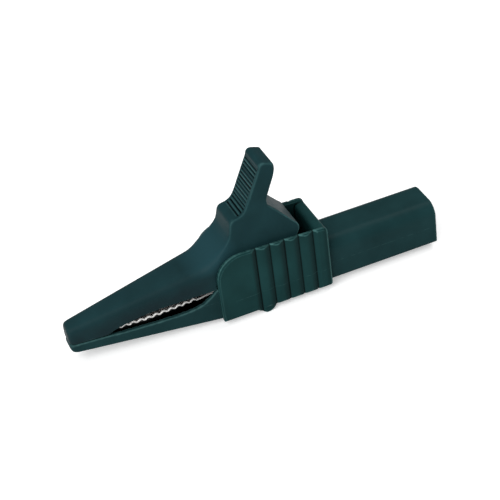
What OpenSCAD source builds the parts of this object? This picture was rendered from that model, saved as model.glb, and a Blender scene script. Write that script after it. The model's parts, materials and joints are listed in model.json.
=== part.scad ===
// Insulated crocodile test clip with a rigid 4 mm safety socket.
//
// The lower body is one moulding: jaw trough, hinge ears and socket block.
// A ribbed grip cover straddles it and hides the ends of the hinge pin.
// The upper jaw, thumb lever and heel are one moulding that turns on the pin.
//
// Design coordinates: X runs back from the jaw tips to the socket, Z is up.
// X = 0 is the rear face of the grip and Z = 0 is the bottom of its cheeks.
// The finished part is moved so that its origin is the mouth of the socket.

/* [Socket block] */
// Length of the block behind the grip
block_len = 29.3; // [26:0.1:36]
// Width of the block
block_w = 12.1; // [11.4:0.1:12.4]
// Height of the block
block_h = 11.2; // [10.6:0.1:11.8]
// Radius of the block's two top corners
block_top_r = 3.3; // [1:0.1:4]
// Height of the underside above the bottom of the cheeks
block_lift = 0.3; // [0.1:0.1:0.5]
// Diameter of the round recess for the plug's sleeve
shroud_d = 8.2; // [8:0.1:8.4]
// Depth of the contact's mouth inside the block
shroud_recess = 4.3; // [4:0.1:6]
// Thickness of the web that carries the contact
web_t = 3.0; // [2:0.1:4]
// Distance from the block's front to the web
web_front = 5.0; // [4.8:0.1:6]

/* [Contact socket] */
// Bore for a 4 mm plug
bore_d = 4.0; // [4:0.01:4.1]
// Outside diameter of the contact tube
tube_d = 5.8; // [5.4:0.1:6]
// Depth of the bore
bore_len = 18.0; // [16:0.1:18.5]
// Diameter of the collar that seats on the web
collar_d = 7.2; // [6.6:0.1:7.6]
// Thickness of the collar
collar_t = 1.0; // [0.6:0.1:1.5]

/* [Jaws] */
// Length of the jaws in front of the grip
jaw_len = 36.5; // [32:0.1:42]
// Width across the jaws at the grip
jaw_root_w = 12.2; // [11.8:0.1:12.4]
// Width across the tips
jaw_tip_w = 5.5; // [5:0.1:7]
// Height of the parting line at the tips
parting_h = 4.9; // [4.6:0.1:5.2]
// Height of the upper jaw at the tips, above the parting line
nose_tip_h = 4.6; // [4.2:0.1:5.2]
// Height of the nose line where it reaches the grip
nose_root_h = 16.2; // [15.5:0.1:17]
// Depth of the lower jaw at the tips, below the parting line
chin_tip_h = 2.6; // [2.4:0.1:3.2]
// Height of the lower jaw's underside at the grip
root_lift = 0.1; // [0:0.1:0.3]
// Length over which the closed tips touch
tip_land = 9.3; // [6:0.1:11]
// Radius of the rounding at the tips
tip_round = 1.1; // [0.8:0.1:1.4]
// Rounding along the lower jaw's bottom edges
chin_r = 0.5; // [0.3:0.1:1]
// Height of the lower jaw's corners at the grip
horn_h = 9.0; // [8.5:0.1:9.1]
// Side wall of both jaws
jaw_wall = 1.1; // [0.8:0.1:1.2]
// Floor of the lower jaw
jaw_floor = 1.2; // [0.9:0.1:1.4]

/* [Grip cover] */
// Length of the cover
grip_len = 28.8; // [27.4:0.1:31]
// Width over the cheeks
grip_w = 15.4; // [15:0.1:17]
// Height of the cheeks
cheek_h = 18.0; // [17.4:0.1:19]
// Fall of the cheeks' top edge towards the rear
cheek_fall = 0.7; // [0:0.1:1.2]
// Radius of the cheeks' upper front corner
cheek_r = 6.2; // [3:0.1:6.5]
// Thickness of a cheek
cheek_t = 1.4; // [1.2:0.1:1.4]
// Chamfer along the cheeks' outer edge
cheek_chamfer = 0.4; // [0.2:0.1:0.6]
// Lead-in chamfer inside the cheeks' top edge
cheek_lead = 0.5; // [0.1:0.1:0.6]
// Thickness of the rear wall
rear_wall_t = 2.7; // [2:0.1:2.9]
// Height of the rear wall
rear_wall_h = 16.5; // [15:0.1:17]
// Grip ribs on each cheek
rib_count = 4; // [3:1:5]
// Distance between two rib grooves
rib_pitch = 3.7; // [3.2:0.1:3.8]
// Depth of the grooves
rib_depth = 0.6; // [0.2:0.1:0.6]
// Distance of the last groove from the cover's rear face
rib_end = 3.8; // [3:0.1:5]
// Depth of the finger ridge under the grip
ridge_h = 1.4; // [0.5:0.1:2]
// Distance of the ridge's crest from the cover's rear face
ridge_at = 17.1; // [15:0.1:18]

/* [Hinge] */
// Distance of the pin behind the cover's front edge
pivot_in = 8.3; // [8:0.1:8.6]
// Height of the pin
pivot_h = 9.4; // [9.2:0.1:9.8]
// Diameter of the pin
pin_d = 3.0; // [2.5:0.1:3.2]
// Radius of the ears that carry the pin
ear_r = 4.6; // [4:0.1:4.7]
// Thickness of the body's ears
ear_t = 1.3; // [1:0.1:1.4]
// Running clearance of the pin in the moving parts, on the radius
pin_clearance = 0.05; // [0.02:0.01:0.08]

/* [Thumb lever] */
// Width of the thumb pad
pad_w = 8.6; // [8:0.1:9.5]
// Length of the pad's straight face
pad_len = 10.0; // [8:0.1:12]
// Lean of the pad's face above the horizontal
pad_lean = 64; // [60:1:68]
// Thickness of the pad at its top
pad_t = 4.1; // [3:0.1:4.8]
// Length of the brow between the pad and the neck
brow_len = 0.5; // [0.1:0.1:1]
// Anti-slip ridges across the pad
pad_ridges = 14; // [8:1:14]
// Distance between two pad ridges
pad_pitch = 0.93; // [0.8:0.01:0.95]
// Depth of the grooves between the pad ridges
pad_groove = 0.45; // [0.2:0.05:0.5]
// Plain border at each end of the pad's grooves
pad_border = 0.7; // [0.4:0.1:1.2]

/* [Metal jaws] */
// Sheet thickness
sheet_t = 0.5; // [0.4:0.05:0.6]
// Width over the lower contact
contact_w = 6.6; // [6.4:0.1:6.7]
// Height of the lower teeth's tips at the front
bite_h = 5.5; // [5.2:0.1:5.8]
// Rise of the line of teeth from front to rear
bite_rise = 1.2; // [0.6:0.1:1.4]
// Distance between two teeth
tooth_pitch = 1.9; // [1.5:0.1:2.4]
// Height of a tooth
tooth_h = 0.6; // [0.4:0.1:0.9]
// Gap between the closed rows of teeth
bite_gap = 0.3; // [0.2:0.1:0.6]

/* [Spring] */
// Wire diameter
wire_d = 0.7; // [0.5:0.05:0.75]
// Mean radius of the coil
coil_r = 2.8; // [2.7:0.05:3]
// Whole turns of the coil before the legs part
coil_turns = 3; // [2:1:3]
// Sideways gap between the coil and the metal round it
coil_gap = 0.1; // [0.05:0.01:0.15]
// Angle of the fixed leg below the horizontal
fixed_leg_angle = 48; // [44:1:52]
// Angle of the moving leg above the horizontal
moving_leg_angle = 45; // [43:1:47]

/* [Clearances] */
// Sideways gap between moulded parts that turn
side_gap = 0.2; // [0.1:0.05:0.3]
// Gap between fixed parts that slide together
fit_gap = 0.05; // [0.02:0.01:0.1]
// Gap at the closed parting line
parting_gap = 0.15; // [0.05:0.05:0.2]

/* [Hidden] */
$fn = 64;
EPS = 0.01;

// Places along the clip
block_top = block_lift + block_h;
axis_h = block_lift + block_h / 2;
socket_mouth = block_len - shroud_recess;
grip_x = -grip_len;
tip_x = grip_x - jaw_len;
land_x = tip_x + tip_land;
cap_x = tip_x + tip_round;
px = grip_x + pivot_in;
pz = pivot_h;

// Widths, as half widths from the middle plane
cheek_in = grip_w / 2 - cheek_t;
lever_hw = cheek_in - side_gap;
root_hw = min(jaw_root_w / 2, lever_hw);
tip_hw = jaw_tip_w / 2;
lever_in = lever_hw - jaw_wall;
ear_out = lever_in - side_gap;
ear_in = ear_out - ear_t;
lower_hw = min(contact_w / 2, ear_in - fit_gap);
upper_hw = lower_hw - sheet_t - 2 * fit_gap;
coil_space = upper_hw - sheet_t - 2 * fit_gap;
core_hw = cheek_in - 2 * fit_gap;

// Heights
core_top = pz - ear_r - 0.4;
floor_top = block_lift + jaw_floor;
chin_h = parting_h - chin_tip_h;
nose_h = parting_h + nose_tip_h;

// Outline helpers -------------------------------------------------------

function arc(c, r, a0, a1, n = 8) =
    [for (i = [0:n]) let (a = a0 + (a1 - a0) * i / n) c + r * [cos(a), sin(a)]];
function lerp(a, b, t) = a + (b - a) * t;
function line_z(p, q, x) = lerp(p[1], q[1], (x - p[0]) / (q[0] - p[0]));
function flip(pts) = [for (i = [len(pts) - 1:-1:0]) [pts[i][0], -pts[i][1]]];

// Half width of both jaws at x
function jaw_hw(x) = lerp(tip_hw, root_hw, (x - cap_x) / (grip_x - cap_x));
// Both jaws' sections near the tip: places from 0 (tip) to 1, and how far each draws in
tip_steps = [0, 0.12, 0.5, 1];
function tip_inset(t) = tip_round * (1 - sqrt(1 - (1 - t) * (1 - t)));
// Inner floor of the lower jaw at x
function floor_z(x) = line_z([cap_x, chin_h + jaw_floor], [grip_x, floor_top], x);

// A profile in X and Z, as wide as 2 * hw across Y
module side_plate(pts, hw)
    translate([0, hw, 0]) rotate([90, 0, 0])
        linear_extrude(2 * hw) polygon(pts);
// A profile in Y and Z, from x0 to x1
module front_plate(pts, x0, x1)
    translate([x0, 0, 0]) rotate([90, 0, 90])
        linear_extrude(x1 - x0) polygon(pts);
// A profile in X and Y, from z0 to z1
module plan_plate(pts, z0, z1)
    translate([0, 0, z0]) linear_extrude(z1 - z0) polygon(pts);
// A straight pin across Y at the hinge
module hinge_pin(r, y0, y1)
    translate([px, y1, pz]) rotate([90, 0, 0]) cylinder(r = r, h = y1 - y0);
// The finished part's own frame
module in_frame() translate([-socket_mouth, 0, -axis_h]) children();

// Shared outlines -------------------------------------------------------

// Plan of both jaws: rounded tip, straight taper, then the width of the root
function jaw_plan(inset, x_end) =
    let (side = concat(
        arc([cap_x + inset, 0], tip_round, 180, 150, 3),
        [[cap_x + inset, jaw_hw(cap_x) - inset],
         [grip_x, root_hw - inset], [x_end, root_hw - inset]]))
    concat([for (p = side) [p[0], max(0, p[1])]], flip(side));

// Place along the gape, t = 0 at the end of the land and 1 at the grip
function gape(t, drop) = [lerp(land_x, grip_x, t), parting_h + drop];
// Upper edge of the lower jaw, from the tip to the grip
lower_rim = [[tip_x - 1, parting_h - parting_gap], gape(0, -parting_gap - 0.1),
             gape(0.14, -0.45), gape(0.4, -0.4), gape(0.62, -0.25), gape(0.72, 0),
             gape(0.8, 0.4), gape(0.87, 1.1), gape(0.94, 2.5), [grip_x, horn_h],
             [px - ear_r - 0.5, horn_h]];
// Lower edge of the upper jaw, from the tip to the hinge
upper_rim = [[tip_x - 1, parting_h], gape(0, 0.1), gape(0.06, 0.9), gape(0.14, 1.6),
             gape(0.3, 2.6), gape(0.48, 3.3), gape(0.64, 4.0), gape(0.8, 4.7),
             gape(0.9, 5.0), gape(0.96, 4.9), gape(1, 4.5)];

// Lower body ------------------------------------------------------------

function block_outline() =
    let (w = block_w / 2, r = block_top_r, e = 0.8)
    concat(arc([w - r, block_top - r], r, 0, 90), arc([r - w, block_top - r], r, 90, 180),
           arc([e - w, block_lift + e], e, 180, 270, 4),
           arc([w - e, block_lift + e], e, 270, 360, 4));

// Finger ridge under the grip, on a base line a little above the underside
function ridge_outline(base) =
    [for (p = [[-3.1, base], [-1.3, 0.3 - ridge_h], [-0.6, -ridge_h], [0.2, -ridge_h],
               [0.9, 0.3 - ridge_h], [2.9, base]]) [p[0] - ridge_at, p[1]]];

module chin_section(x, hw, z0)
    front_plate(concat([[hw, parting_h + 6], [-hw, parting_h + 6]],
                       arc([chin_r - hw, z0 + chin_r], chin_r, 180, 270, 4),
                       arc([hw - chin_r, z0 + chin_r], chin_r, 270, 360, 4)), x, x + EPS);

module jaw_trough() {
    difference() {
        intersection() {
            hull() {
                for (t = tip_steps)
                    chin_section(lerp(tip_x, cap_x, t), tip_hw - tip_inset(t),
                                 chin_h + tip_inset(t));
                chin_section(grip_x, root_hw, root_lift);
            }
            side_plate(concat(lower_rim, [[grip_x + EPS, -1], [tip_x - 1, -1]]), root_hw + 1);
        }
        intersection() {
            side_plate([[cap_x, floor_z(cap_x)], [cap_x, 20], [grip_x + 1, 20],
                        [grip_x + 1, floor_top], [grip_x, floor_top]], root_hw);
            plan_plate(jaw_plan(jaw_wall, grip_x + 1), 0, 20);
        }
    }
}

module core() {
    difference() {
        side_plate([[grip_x, block_lift], [0, block_lift], [0, core_top],
                    [px - ear_r + 0.2, core_top], [px - ear_r - 0.5, horn_h],
                    [grip_x, horn_h]], core_hw);
        translate([grip_x - 1, -lever_in, floor_top])
            cube([grip_len + 1 + EPS, 2 * lever_in, 20]);
    }
    side_plate(ridge_outline(block_lift + EPS), core_hw);
    for (s = [-1, 1])
        translate([0, s * (ear_in + ear_out) / 2, 0])
            difference() {
                union() {
                    translate([px, ear_t / 2, pz]) rotate([90, 0, 0]) cylinder(r = ear_r, h = ear_t);
                    translate([px - ear_r, -ear_t / 2, floor_top - EPS])
                        cube([2 * ear_r, ear_t, pz - floor_top]);
                }
                translate([px, ear_t, pz]) rotate([90, 0, 0])
                    cylinder(d = pin_d + 2 * fit_gap, h = 2 * ear_t);
            }
}

module socket_block() {
    difference() {
        front_plate(block_outline(), 0, block_len);
        translate([web_front + web_t, 0, axis_h]) rotate([0, 90, 0])
            cylinder(d = shroud_d, h = block_len);
        translate([web_front - EPS, 0, axis_h]) rotate([0, 90, 0])
            cylinder(d = tube_d + 2 * fit_gap, h = web_t + 1);
        translate([-EPS, -3.2, floor_top]) cube([web_front + EPS, 6.4, axis_h + 2.4 - floor_top]);
    }
}

module lower_body() color([0.13, 0.25, 0.26]) in_frame() {
    jaw_trough();
    core();
    socket_block();
}

// Grip cover ------------------------------------------------------------

// Side view of a cheek, drawn in all round and again by lead along its top
function cheek_outline(inset, lead = 0) =
    let (top = cheek_h - inset - lead, back = top - cheek_fall,
         front = grip_x + inset, r = cheek_r - lead, e = 1.3, b = 0.6)
    concat(arc([-inset - b, inset + b], b, 270, 360, 3),
           arc([-inset - e, back - e], e, 0, 90, 4),
           arc([front + r, top - r], r, 90, 180),
           [[front, inset + 2], [front + 0.2, inset]]);

// Outer edge of one cheek's ribs in plan, as shallow arches between grooves
function rib_edge() =
    let (x0 = -rib_end - rib_count * rib_pitch, n = 8)
    [for (k = [0:rib_count - 1]) for (i = [0:n])
        let (u = 2 * i / n - 1)
        [x0 + (k + i / n) * rib_pitch, grip_w / 2 - rib_depth * u * u]];

module rib_cut() {
    x0 = -rib_end - rib_count * rib_pitch;
    out = grip_w / 2 + 1;
    plan_plate(concat([[x0 - 1, grip_w / 2], [x0 - 1, out], [-rib_end + 1, out],
                       [-rib_end + 1, grip_w / 2]],
                      [for (i = [len(rib_edge()) - 1:-1:0]) rib_edge()[i]]), -5, cheek_h + 5);
}

// A profile in X and Z raised outward from the inside of a cheek
module cheek_plate(pts, t)
    translate([0, cheek_in, 0]) rotate([-90, 0, 0]) mirror([0, 1, 0])
        linear_extrude(t) polygon(pts);

module cheek()
    difference() {
        union() {
            hull() {
                cheek_plate(cheek_outline(0, cheek_lead), EPS);
                translate([0, cheek_lead, 0])
                    cheek_plate(cheek_outline(0), cheek_t - cheek_chamfer - cheek_lead);
                cheek_plate(cheek_outline(cheek_chamfer), cheek_t);
            }
            cheek_plate(ridge_outline(cheek_chamfer + EPS), cheek_t - cheek_chamfer / 2);
        }
        rib_cut();
    }

module grip_cover() color([0.12, 0.26, 0.24]) in_frame()
    difference() {
        union() {
            cheek();
            mirror([0, 1, 0]) cheek();
            side_plate(concat([[0, core_top + 0.2], [-rear_wall_t, core_top + 0.2]],
                              arc([1.2 - rear_wall_t, rear_wall_h - 1.2], 1.2, 180, 90, 4),
                              arc([-0.6, rear_wall_h - 0.6], 0.6, 90, 0, 3)), cheek_in + EPS);
        }
        hinge_pin(pin_d / 2 + pin_clearance, -cheek_in - 0.9, cheek_in + 0.9);
    }

// Upper jaw and thumb lever ---------------------------------------------

function pad_dir() = [cos(pad_lean), sin(pad_lean)];
pad_foot = [px + 1.9, pz + 18.0];
pad_top = pad_foot + pad_len * pad_dir();
foot_r = 3.2;
foot_c = pad_foot + foot_r * [-sin(pad_lean), cos(pad_lean)];
brow_r = 1.5;
foot_end = arc(foot_c, foot_r, pad_lean - 90, 6 - 90, 6);
brow_c = foot_end[6] - brow_len * [cos(6), sin(6)] + brow_r * [sin(6), -cos(6)];

// A point on the pad's face, s down from the top, with the face's direction
function face_point(s) =
    let (over = s - pad_len, a = pad_lean - 90 - over / foot_r * 180 / PI)
    s <= pad_len ? pad_top - s * pad_dir() : foot_c + foot_r * [cos(a), sin(a)];
function face_angle(s) =
    s <= pad_len ? pad_lean : pad_lean - (s - pad_len) / foot_r * 180 / PI;

// The neck where the lever meets the nose, seen from the hinge
neck = [[-2.8, 13.3], [-3.1, 12.2], [-3.9, 11.0], [-ear_r, 10.3]];
// The pad's back, seen from its top
pad_back = [[-0.3, 1.0], [0, 0.2], [0, -0.8], [-0.45, -2.5]];
// The heel's back and lower corner, seen from the hinge
heel_back = [[7.5, 18.8], [7.5, 17.3], [10.1, 14.5], [13.3, 10.8]];
heel_r = 1.5;
heel_c = [px + 12.8, pz + 9.2];
heel_low = [[13.4, 7.4], [12.5, 6.5]];

function from_hinge(pts) = [for (p = pts) [px + p[0], pz + p[1]]];
function nose_top(x) = line_z([cap_x, nose_h], [grip_x, nose_root_h], x);

function lever_outline() = concat(
    [pad_top + [0.1, 0.4]], arc(pad_top + [1.3, 0.6], 1.2, 160, 80, 5),
    [for (p = pad_back) pad_top + [pad_t + p[0], p[1]]],
    from_hinge(heel_back), arc(heel_c, heel_r, 42, -35, 6), from_hinge(heel_low),
    arc([px, pz], ear_r, -35, -180, 14),
    [for (i = [len(neck) - 1:-1:0]) from_hinge(neck)[i]],
    arc(brow_c, brow_r, 168, 96, 6),
    [for (i = [6:-1:0]) foot_end[i]]);

// Half width of the lever at heights above the hinge
lever_flare = [[lever_hw, -8], [lever_hw, 6.6], [5.6, 8.6], [5.1, 10.4],
               [4.75, 12.6], [4.45, 15.6], [pad_w / 2, 19], [pad_w / 2, 40]];

module nose_section(x, hw, z1, r, z0 = parting_h - 4)
    front_plate(concat([[-hw, z0], [hw, z0]],
                       arc([hw - r, z1 - r], r, 0, 90, 6),
                       arc([r - hw, z1 - r], r, 90, 180, 6)), x, x + EPS);

// Section of the neck, at a place and height from the hinge
module neck_section(x, z, r)
    nose_section(px + x, jaw_hw(min(grip_x, px + x)), pz + z, r, pz + 1);

module upper_shell() {
    hull() {
        for (t = tip_steps)
            nose_section(lerp(tip_x, cap_x, t), tip_hw - tip_inset(t),
                         nose_h - tip_inset(t), 2.0 - tip_inset(t));
        nose_section(grip_x, root_hw, nose_root_h, 3.0);
    }
    intersection() {
        union() {
            side_plate(lever_outline(), lever_hw);
            hull() {
                neck_section(-11.3, 6.2, 3.0);
                neck_section(-9.6, 6.9, 2.8);
            }
            hull() {
                neck_section(-9.6, 6.9, 2.8);
                neck_section(-ear_r, 10.3, 1.8);
            }
        }
        front_plate(concat([for (p = lever_flare) [p[0], pz + p[1]]],
                           [for (i = [len(lever_flare) - 1:-1:0])
                               [-lever_flare[i][0], pz + lever_flare[i][1]]]), -60, 10);
        plan_plate(jaw_plan(0, 0), 0, 60);
    }
}

// Roof of the space under the upper jaw
roof_tip = [cap_x, nose_h - 1.4];
roof_root = [grip_x, 11.8];
module upper_hollow() {
    side_plate([[tip_x - 2, -2], [tip_x - 2, upper_rim[0][1]], upper_rim[1], upper_rim[2],
                upper_rim[3], upper_rim[4], upper_rim[5], [px - ear_r, pz - 0.2],
                [px - ear_r, -2]], 20);
    intersection() {
        side_plate([[cap_x, 0], roof_tip, roof_root, [px - ear_r - 1, pz + ear_r + 0.6],
                    [px + ear_r + 0.6, pz + ear_r + 0.6], [px + 10.4, pz + 6.8],
                    [px + 11, pz + 5.6], [px + 11, 0]], root_hw);
        plan_plate(jaw_plan(jaw_wall, 0), 0, 60);
    }
}

groove_hw = pad_w / 2 - pad_border;
module pad_grooves()
    for (k = [0:pad_ridges - 1])
        let (s = 0.3 + k * pad_pitch, p = face_point(s), a = face_angle(s))
            translate([p[0], groove_hw, p[1]]) rotate([90, 0, 0]) linear_extrude(2 * groove_hw)
                rotate(a) polygon([[-0.32, 0.2], [0.32, 0.2], [0.1, -pad_groove], [-0.1, -pad_groove]]);

module upper_jaw() color([0.13, 0.26, 0.28]) in_frame()
    difference() {
        upper_shell();
        upper_hollow();
        hinge_pin(pin_d / 2 + pin_clearance, -20, 20);
        pad_grooves();
        translate([rivet_x, 0, 0]) cylinder(r = rivet_r + 0.02, h = rivet_top + 0.1);
    }

// Metal jaws ------------------------------------------------------------

metal_tip = cap_x + jaw_wall + 0.1;
teeth_end = grip_x - 4.6;
tooth_count = floor((teeth_end - metal_tip - 0.2) / tooth_pitch);
function contact_hw(x, hw) = min(hw, jaw_hw(x) - jaw_wall - 3 * fit_gap);

// Height of the lower teeth's tips at x
function bite_z(x) = line_z([metal_tip, bite_h], [teeth_end, bite_h + bite_rise], x);
// Rounded teeth, up (dir 1) or down (dir -1), with their tips on the bite line plus lift
tooth = [[0, 1], [0.22, 0.4], [0.42, 0], [0.64, 0], [0.84, 0.45]];
function teeth(lift, dir) =
    [for (k = [0:tooth_count - 1])
        for (p = tooth)
            let (x = teeth_end + (p[0] - tooth_count + k) * tooth_pitch)
            [x, bite_z(x) + lift - dir * p[1] * tooth_h]];

// Plan of a metal jaw: narrow at the tip, full width from where the trough allows
full_x = lerp(cap_x, grip_x, (lower_hw + jaw_wall + 0.1 - tip_hw) / (root_hw - tip_hw));
function metal_plan(hw, inset, x0) =
    let (drop = lower_hw - hw,
         side = [[x0, contact_hw(x0, lower_hw) - drop - inset],
                 [full_x, hw - inset], [0, hw - inset]])
    concat(side, flip(side));

tail_hw = 2.0;
tail_up = core_top - 0.3;
joint_x = 2.4;
joint_r = 0.8;
module lower_contact() color([0.75, 0.76, 0.77]) in_frame() {
    base_end = px + 3.4;
    difference() {
        intersection() {
            union() {
                side_plate(concat([[metal_tip, floor_z(metal_tip)]],
                                  [[metal_tip, bite_h - tooth_h]], teeth(0, 1),
                                  [[teeth_end, bite_z(teeth_end) - tooth_h],
                                   [grip_x, bite_z(teeth_end) + 0.1],
                                   [px - 3, pz], [px, pz], [px + 2.8, pz], [px + 3.4, 4],
                                   [base_end, floor_top], [grip_x, floor_top]]), lower_hw);
                hinge_pin(3.4, -lower_hw, lower_hw);
            }
            plan_plate(metal_plan(lower_hw, 0, metal_tip), 0, 20);
        }
        intersection() {
            side_plate([[metal_tip - 1, floor_z(metal_tip - 1) + sheet_t],
                        [grip_x, floor_top + sheet_t], [0, floor_top + sheet_t], [0, 20],
                        [metal_tip - 1, 20]], lower_hw);
            plan_plate(metal_plan(lower_hw, sheet_t, metal_tip - 1), 0, 20);
        }
        hinge_pin(pin_d / 2 + fit_gap, -10, 10);
    }
    // Tail along the floor, up and under the contact's tongue
    difference() {
        side_plate([[base_end - 1, floor_top], [-4, floor_top], [0.2, tail_up - sheet_t],
                    [web_front - 0.6, tail_up - sheet_t], [web_front - 0.6, tail_up],
                    [0, tail_up], [-4.2, floor_top + sheet_t],
                    [base_end - 1, floor_top + sheet_t]], tail_hw);
        translate([joint_x, 0, 0]) cylinder(r = joint_r + 0.02, h = 20);
    }
}

module upper_contact() color([0.75, 0.76, 0.77]) in_frame() {
    bite = bite_z(teeth_end) + bite_gap;
    roof = function(x) line_z(roof_tip, roof_root, x) - fit_gap;
    difference() {
        intersection() {
            union() {
                side_plate(concat([[metal_tip, roof(metal_tip)],
                                   [metal_tip, bite_h + bite_gap + tooth_h]],
                                  teeth(bite_gap, -1),
                                  [[teeth_end, bite + tooth_h], [grip_x, bite + 1.0],
                                   [px - 2, pz - 2.8],
                                   [px, pz], [px - 1, pz + 3.1], [grip_x + 1, roof(grip_x)],
                                   [grip_x, roof(grip_x)]]),
                           upper_hw);
                hinge_pin(3.4, -upper_hw, upper_hw);
            }
            plan_plate(metal_plan(upper_hw, 0, metal_tip), 0, 20);
        }
        intersection() {
            side_plate([[metal_tip - 1, 0], [metal_tip - 1, roof(metal_tip - 1) - sheet_t],
                        [grip_x + 1, roof(grip_x) - sheet_t], [grip_x + 2, 20], [0, 20], [0, 0]],
                       upper_hw);
            plan_plate(metal_plan(upper_hw, sheet_t, metal_tip - 1), 0, 20);
        }
        hinge_pin(pin_d / 2 + pin_clearance, -10, 10);
        translate([rivet_x, 0, 0]) cylinder(r = rivet_r + 0.02, h = 20);
    }
}

rivet_x = grip_x - 12;
rivet_r = 0.9;
rivet_head_r = 1.6;
rivet_head_h = 0.5;
// The head lies clear of the sloping sheet
rivet_drop = rivet_head_r * (roof_root[1] - roof_tip[1]) / (roof_root[0] - roof_tip[0]) + 0.03;
rivet_top = nose_top(rivet_x) - 1.2;
rivet_seat = line_z(roof_tip, roof_root, rivet_x) - fit_gap - sheet_t;
module upper_contact_rivet() color([0.7, 0.71, 0.72]) in_frame()
    translate([rivet_x, 0, 0]) {
        translate([0, 0, rivet_seat - rivet_drop - 0.1])
            cylinder(r = rivet_r, h = rivet_top - rivet_seat + rivet_drop + 0.1);
        translate([0, 0, rivet_seat - rivet_drop - rivet_head_h])
            cylinder(r1 = rivet_head_r - 0.4, r2 = rivet_head_r, h = rivet_head_h);
    }

// Hinge and spring ------------------------------------------------------

pin_half = cheek_in + 0.8;
bush_r = coil_r - wire_d / 2 - 0.3;
module pivot_pin() color([0.7, 0.7, 0.72]) in_frame()
    hinge_pin(pin_d / 2, -pin_half, pin_half);

module pin_bush() color([0.62, 0.63, 0.65]) in_frame()
    difference() {
        hinge_pin(bush_r, -coil_space, coil_space);
        hinge_pin(pin_d / 2 + pin_clearance, -10, 10);
    }

// Wire path: fixed leg, helix round the bush, moving leg
start_a = 90 - fixed_leg_angle;
turn_total = 360 * coil_turns - start_a - (90 - moving_leg_angle);
coil_y = coil_space - coil_gap - wire_d / 2;
fixed_leg_len = (coil_r * sin(start_a) + pz - floor_top - sheet_t - wire_d / 2 - 0.05)
                / sin(fixed_leg_angle);
moving_leg_len = 11.0;
coil_steps = 24;
function coil_point(t) =
    let (a = start_a + turn_total * t)
    [px + coil_r * cos(a), lerp(-coil_y, coil_y, t), pz + coil_r * sin(a)];
steps = round(turn_total / 360 * coil_steps);
helix = [for (i = [0:steps]) coil_point(i / steps)];
wire_path = concat(
    [helix[0] + fixed_leg_len * [cos(fixed_leg_angle), 0, -sin(fixed_leg_angle)]],
    [helix[0] + 0.5 * fixed_leg_len * [cos(fixed_leg_angle), 0, -sin(fixed_leg_angle)]],
    helix,
    [helix[steps] + 0.5 * moving_leg_len * [cos(moving_leg_angle), 0, sin(moving_leg_angle)]],
    [helix[steps] + moving_leg_len * [cos(moving_leg_angle), 0, sin(moving_leg_angle)]]);

function unit(v) = v / norm(v);
function tangent(p, i) =
    i == 0 ? unit(p[1] - p[0]) : i == len(p) - 1 ? unit(p[i] - p[i - 1])
    : unit(unit(p[i + 1] - p[i]) + unit(p[i] - p[i - 1]));
// The wire stays near planes across Y, so Y is a steady side direction
function ring(p, i, r, sides) =
    let (t = tangent(p, i), u = unit(cross(t, [0, 1, 0])), v = cross(u, t))
    [for (k = [0:sides - 1]) let (a = 360 * k / sides) p[i] + r * (cos(a) * u + sin(a) * v)];

module wire(p, r, sides = 6) {
    n = len(p);
    points = [for (i = [0:n - 1]) each ring(p, i, r, sides)];
    sides_faces = [for (i = [0:n - 2]) for (k = [0:sides - 1])
        let (a = i * sides + k, b = i * sides + (k + 1) % sides)
        each [[a, b, b + sides], [a, b + sides, a + sides]]];
    caps = concat([for (k = [1:sides - 2]) [0, k + 1, k]],
                  [for (k = [1:sides - 2])
                      let (e = (n - 1) * sides) [e, e + k, e + k + 1]]);
    polyhedron(points, concat(sides_faces, caps));
}

// Least gap between turns, on points half a turn or more apart
self_gap = min([for (i = [0:len(wire_path) - 1])
                for (j = [i + coil_steps / 2:1:len(wire_path) - 1])
                    norm(wire_path[i] - wire_path[j])]) - wire_d;
echo(spring_self_gap = self_gap);

module torsion_spring() color([0.72, 0.73, 0.75]) in_frame() wire(wire_path, wire_d / 2);

// Contact socket --------------------------------------------------------

tongue_t = 1.3;
joint_head_r = 1.5;
joint_head_h = 0.6;
module contact_socket() color([0.8, 0.79, 0.74]) in_frame()
    translate([0, 0, axis_h]) {
        difference() {
            rotate([0, 90, 0]) rotate_extrude() polygon(concat(
                [[0, web_front], [tube_d / 2, web_front], [tube_d / 2, web_front + web_t + fit_gap],
                 [collar_d / 2, web_front + web_t + fit_gap],
                 [collar_d / 2, web_front + web_t + collar_t], [tube_d / 2, web_front + web_t + collar_t],
                 [tube_d / 2, socket_mouth - 0.3], [tube_d / 2 - 0.3, socket_mouth], [0, socket_mouth]]));
            translate([socket_mouth - bore_len, 0, 0]) rotate([0, 90, 0])
                cylinder(d = bore_d, h = bore_len + 1);
        }
        difference() {
            translate([0.6, -2.2, tail_up - axis_h]) cube([web_front - 0.6 + EPS, 4.4, tongue_t]);
            translate([joint_x, 0, -5]) cylinder(r = joint_r + 0.02, h = 10);
        }
    }

module contact_rivet() color([0.7, 0.71, 0.72]) in_frame()
    translate([joint_x, 0, 0]) {
        translate([0, 0, tail_up - sheet_t - joint_head_h])
            cylinder(r1 = joint_head_r - 0.4, r2 = joint_head_r, h = joint_head_h);
        translate([0, 0, tail_up - sheet_t - 0.1]) cylinder(r = joint_r, h = sheet_t + tongue_t + 0.2);
        translate([0, 0, tail_up + tongue_t])
            cylinder(r1 = joint_head_r, r2 = joint_head_r - 0.4, h = joint_head_h);
    }

lower_body();
grip_cover();
upper_jaw();
lower_contact();
upper_contact();
upper_contact_rivet();
pivot_pin();
pin_bush();
torsion_spring();
contact_socket();
contact_rivet();
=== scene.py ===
"""Studio scene of an insulated crocodile test clip with a shrouded rear socket.

All sizes are in millimetres in the part's own frame: the origin is the mouth of
the plug bore, +X runs to the rear and +Z is up. MM turns them into metres.
"""

from __future__ import annotations

import json
import logging
import math
from dataclasses import dataclass, field
from enum import Enum
from typing import Callable

import bpy
import numpy as np
from mathutils import Matrix, Vector

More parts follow.
